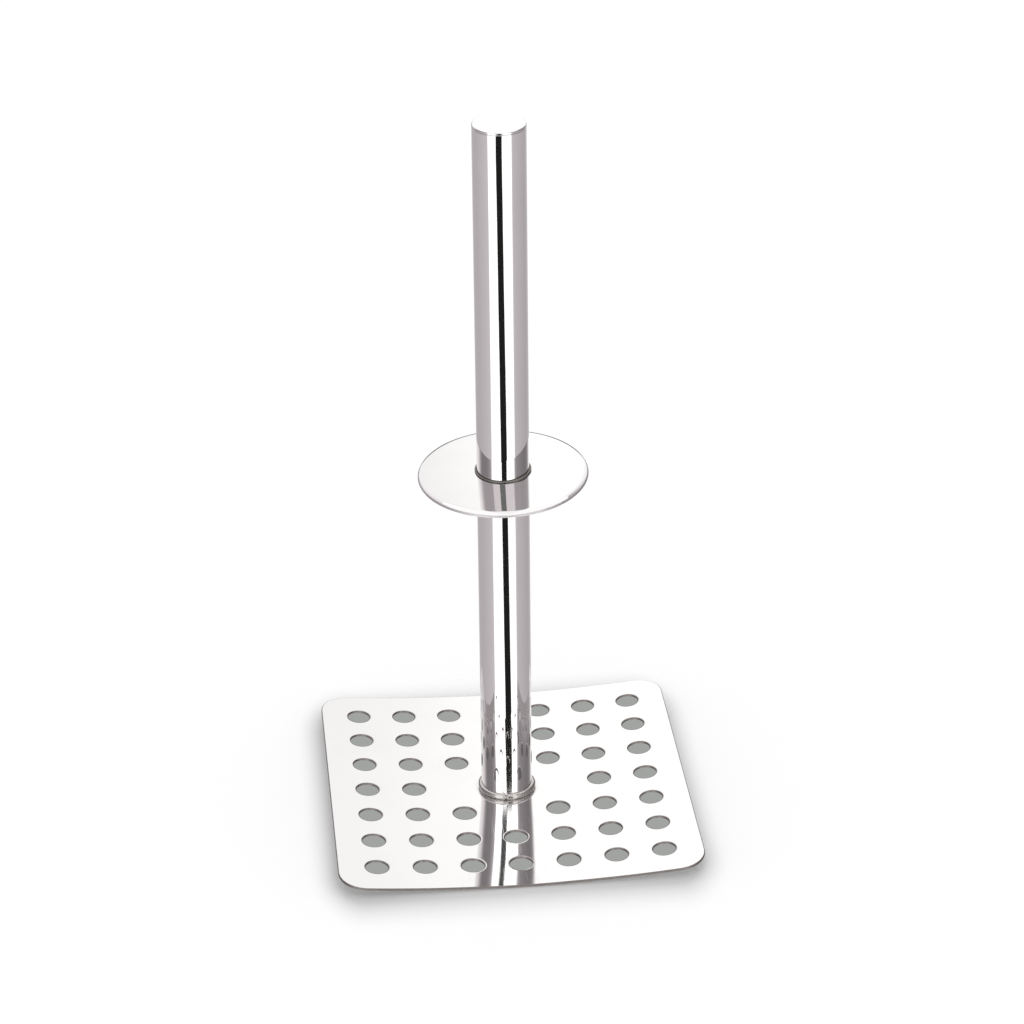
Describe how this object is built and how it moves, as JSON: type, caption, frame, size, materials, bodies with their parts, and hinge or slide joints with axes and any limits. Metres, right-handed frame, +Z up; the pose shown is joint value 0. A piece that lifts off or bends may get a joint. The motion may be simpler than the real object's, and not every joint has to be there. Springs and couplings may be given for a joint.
{
  "type": "hand masher",
  "caption": "Stainless steel hand masher: bowed square perforated plate welded to an upright tube handle with a round domed guard.",
  "frame": {"origin": "on the floor under the handle's axis, where the bowed plate's lowest line touches", "axes": "+Z up the handle, +Y to the back along the plate's lowest line, +X to the right, across the bow"},
  "size_m": [0.1524, 0.1524, 0.306],
  "materials": {
    "polished_steel": "mirror-polished stainless steel",
    "weld_steel": "stainless steel weld bead, brushed after welding"
  },
  "bodies": {
    "root": {"mashing_plate": "polished_steel", "base_weld": "weld_steel", "handle_tube": "polished_steel", "guard_disc": "polished_steel", "guard_weld_top": "weld_steel", "guard_weld_bottom": "weld_steel", "end_cap": "polished_steel"}
  },
  "joints": []
}
